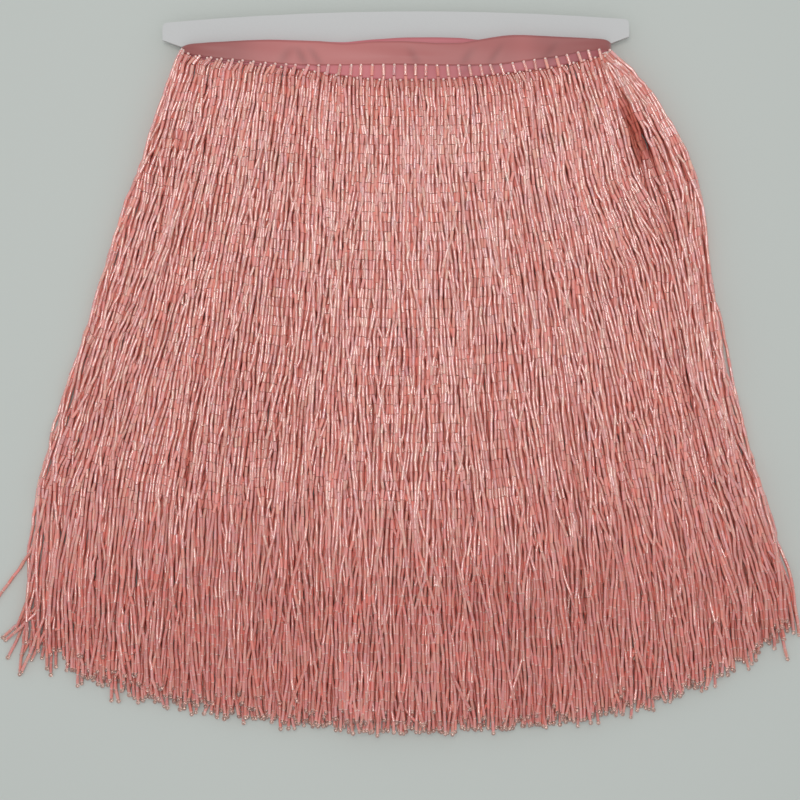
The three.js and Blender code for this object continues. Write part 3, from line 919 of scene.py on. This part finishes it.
def build_sheet(name, rows, colours, material):
    """A mesh through rows of points, which all have the same number of points."""
    rows = np.array(rows)
    long, wide = rows.shape[:2]
    k = (np.arange(long - 1)[:, None] * wide + np.arange(wide - 1)[None, :]).ravel()
    faces = np.stack([k, k + 1, k + 1 + wide, k + wide], axis=1)
    mesh = bpy.data.meshes.new(name)
    mesh.from_pydata(to_frame(rows.reshape(-1, 3)).tolist(), [], faces.tolist())
    mesh.polygons.foreach_set("use_smooth", np.ones(len(faces), bool))
    set_tints(mesh, np.array(colours).reshape(-1, 3))
    mesh.materials.append(material)
    return put_in_scene(name, mesh)


def creased(x, v):
    """How deep the soft creases are at x, for each share v of the ribbon's width, from 0 to 1; it also sets
    their painted shade.
    """
    deep = 0
    for crease in CREASES:
        off = (x - crease["x"] - crease["slant"] * v) / crease["wide"]
        deep = deep + crease["depth_and_shade"] * np.exp(-off ** 2) * np.sin(math.pi * np.clip(v + CREASE_FADE, 0, 1))
    return deep


def crumple(x, v):
    """How far the ribbon stands out of its plane: gathered near the neck's ends, creased between them."""
    gathered = np.clip((np.abs(x) - GATHER["from"]) / GATHER["over"], 0, 1) ** GATHER["curve"]
    turn = 2 * math.pi * (GATHER["folds"] * v + GATHER["phase"]) + GATHER["slant"] * x
    folds = GATHER["deep"] * gathered * np.sin(turn)
    waves = WAVES["deep"] * np.sin(WAVES["along"] * x + WAVES["across"] * v) * np.sin(math.pi * v)
    return folds + waves - CREASE_DEEP * creased(x, v)


def make_ribbon(material):
    """The wound ribbon as one sheet, which a modifier gives its thickness."""
    widths = np.linspace(0, 1, RIBBON_COLUMNS)
    middle = (CARD_LOW[2] + CARD_HIGH[2]) / 2
    half_card = (CARD_HIGH[2] - CARD_LOW[2]) / 2
    rows, colours = [], []
    for turn in range(TURNS):
        outward = TURNS - 1 - turn
        for side in (1, -1):
            front = loop_shares(FINE_STEPS if side > 0 and outward < FINE_TURNS else PLAIN_STEPS)
            for step, share in enumerate(front * side):
                place = turn + (0 if side > 0 else 0.5) + 0.5 * step / len(front)
                rise = half_card + FIRST_TURN + TURN_PITCH * place
                reach = END_REACH + END_PITCH * place
                x = reach * share
                height = rise * turn_height(share)
                low, top = turn_edges(x, outward, side)
                y = low + (top - low) * widths
                out = crumple(x, widths) * turn_height(share)
                z = middle + side * (height + np.maximum(out, -FOLD_IN_MOST) * FOLD_SHARE)
                rows.append(np.stack([np.full(len(widths), x), y, np.maximum(z, LOWEST)], axis=1))
                # The turns other than the outer one take the lighter copy of the satin: painted sheen.
                satin = SATIN if outward == 0 else SATIN_INNER_PAINTED_SHEEN
                # The satin's colour carries painted sheen and shade along the ribbon, and painted shade in
                # the creases.
                light = satin_sheen_and_shade(x) * (1 - creased(x, widths))
                colours.append(satin[None, :] * light[:, None])
    ribbon = build_sheet("satin_ribbon", rows, colours, material)
    solidify = ribbon.modifiers.new("thickness", "SOLIDIFY")
    solidify.thickness = RIBBON_THICK * MM
    solidify.offset = 0
    return ribbon


def turn_edges(x, outward, side):
    """The lower and the upper edge of one turn at x. From outside, turn 1 hangs low and turn 2 peeks out."""
    edge, band = -header_edge(x), -header_band(x)
    top, turn = header_top(x), header_turn(x)
    squeeze = np.clip((SQUEEZE["end"] - abs(x)) / SQUEEZE["over"], 0, 1)
    if side < 0:
        shift = BACK_SHIFT["by"] * math.sin(outward * BACK_SHIFT["turn"])
        return edge + shift * squeeze, turn + shift * squeeze
    if outward == 0:
        return edge, turn
    if outward == 1:
        return band, min(band + RIBBON_WIDTH, turn)
    if outward == 2:
        return max(top - RIBBON_WIDTH, edge), top
    shift = INNER_SHIFT["by"] * math.sin(outward * INNER_SHIFT["turn"])
    return edge + (shift + INNER_SHIFT["edge"]) * squeeze, turn + (shift + INNER_SHIFT["top"]) * squeeze


def principled(name):
    """A new material and its shader."""
    material = bpy.data.materials.new(name)
    material.use_nodes = True
    return material, material.node_tree.nodes["Principled BSDF"]


def tinted(name):
    """A material whose base colour is the mesh's tint."""
    material, shader = principled(name)
    tint = material.node_tree.nodes.new("ShaderNodeAttribute")
    tint.attribute_name = "tint"
    material.node_tree.links.new(tint.outputs["Color"], shader.inputs["Base Color"])
    return material, shader


def glass_material(finish):
    material, shader = tinted(f"{finish['name']}_glass_beads")
    shader.inputs["Roughness"].default_value = finish["roughness"]
    shader.inputs["IOR"].default_value = finish["ior"]
    shader.inputs["Transmission Weight"].default_value = finish["through"]
    shader.inputs["Coat Weight"].default_value = finish["coat"]
    shader.inputs["Coat Roughness"].default_value = 0.08
    shader.inputs["Coat IOR"].default_value = 1.7
    shader.inputs["Subsurface Weight"].default_value = 0.35
    shader.inputs["Subsurface Radius"].default_value = (1.0, 0.36, 0.3)
    shader.inputs["Subsurface Scale"].default_value = 0.9 * MM
    return material


def seed_material():
    material, shader = tinted("clear_seed_beads")
    shader.inputs["Roughness"].default_value = 0.04
    shader.inputs["Transmission Weight"].default_value = 0.75
    shader.inputs["Coat Weight"].default_value = 1.0
    return material


def satin_material():
    material, shader = tinted("dusky_pink_satin")
    shader.inputs["Roughness"].default_value = 0.42
    shader.inputs["Sheen Weight"].default_value = 0.3
    shader.inputs["Anisotropic"].default_value = 0.6
    return material


# The card's white board is a little mottled, between these two tones.
CARD_TONES = ((0.595, 0.595, 0.59, 1), (0.665, 0.665, 0.66, 1))


def card_material():
    material, shader = principled("white_card")
    nodes, links = material.node_tree.nodes, material.node_tree.links
    noise = nodes.new("ShaderNodeTexNoise")
    noise.inputs["Scale"].default_value = 180
    noise.inputs["Detail"].default_value = 4
    ramp = nodes.new("ShaderNodeValToRGB")
    for element, tone in zip(ramp.color_ramp.elements, CARD_TONES):
        element.color = tone
    links.new(noise.outputs["Fac"], ramp.inputs["Fac"])
    links.new(ramp.outputs["Color"], shader.inputs["Base Color"])
    shader.inputs["Roughness"].default_value = 0.55
    return material


def floor_material():
    material, shader = principled("pale_table")
    shader.inputs["Base Color"].default_value = (0.605, 0.635, 0.60, 1)
    shader.inputs["Roughness"].default_value = 0.6
    return material


# Camera: straight above, framed as the photograph is. A pixel is this wide at HALFWAY_UP the fringe.
MM_PER_PIXEL = 0.457
FRAME_PIXELS = 800
NECK_PIXEL = (396, 50.5)
CAMERA_HEIGHT = 720
HALFWAY_UP = 6
SENSOR_WIDTH = 36

# The surface that the trim lies on, in metres, a hair below its lowest point.
FLOOR_SIZE = 3.0
FLOOR_HEIGHT = -0.0003

# Light: an even, slightly cool sky, and a soft lamp straight above the fringe, in metres and watts.
SKY_COLOUR = (0.93, 0.97, 1.0, 1)
SKY_STRENGTH = 0.555
LAMP = {"x": -0.05, "y": 0.11, "z": 1.25, "wide": 0.36, "deep": 0.6, "power": 4.8}
LAMP_COLOUR = (1.0, 0.975, 0.945)


def make_camera():
    data = bpy.data.cameras.new("camera")
    field = MM_PER_PIXEL * FRAME_PIXELS
    data.sensor_width = SENSOR_WIDTH
    data.lens = SENSOR_WIDTH * (CAMERA_HEIGHT - HALFWAY_UP) / field
    camera = put_in_scene("camera", data)
    x = (FRAME_PIXELS / 2 - NECK_PIXEL[0]) * MM_PER_PIXEL
    y = (NECK_PIXEL[1] - FRAME_PIXELS / 2) * MM_PER_PIXEL
    camera.location = to_frame(np.array([x, y, CAMERA_HEIGHT])).tolist()
    bpy.context.scene.camera = camera


def make_floor():
    mesh = bpy.data.meshes.new("floor")
    corners = [(FLOOR_SIZE * x, FLOOR_SIZE * y, 0) for x, y in ((-1, -1), (1, -1), (1, 1), (-1, 1))]
    mesh.from_pydata(corners, [], [(0, 1, 2, 3)])
    mesh.materials.append(floor_material())
    floor = put_in_scene("floor", mesh)
    floor.location.z = FLOOR_HEIGHT


def make_light():
    world = bpy.data.worlds.new("studio")
    bpy.context.scene.world = world
    world.use_nodes = True
    sky = world.node_tree.nodes["Background"]
    sky.inputs["Color"].default_value = SKY_COLOUR
    sky.inputs["Strength"].default_value = SKY_STRENGTH
    data = bpy.data.lights.new("key", "AREA")
    data.shape = "RECTANGLE"
    data.size = LAMP["wide"]
    data.size_y = LAMP["deep"]
    data.energy = LAMP["power"]
    data.color = LAMP_COLOUR
    lamp = put_in_scene("key", data)
    lamp.location = (LAMP["x"], LAMP["y"], LAMP["z"])
    bpy.context.scene.view_settings.view_transform = "Standard"


make_camera()
make_floor()
make_light()

beads = [glass_material(finish) for finish in FINISHES]
clear = seed_material()
pile, fringe = lay_fringe()
for node, paths in fringe.items():
    for piece in make_strands(node, paths, pile, beads, clear):
        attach(piece, "root")
        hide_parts(node)

ribbon = make_ribbon(satin_material())
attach(ribbon, "root")
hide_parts("ribbon_winding")

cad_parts["card"].data.materials.clear()
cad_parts["card"].data.materials.append(card_material())
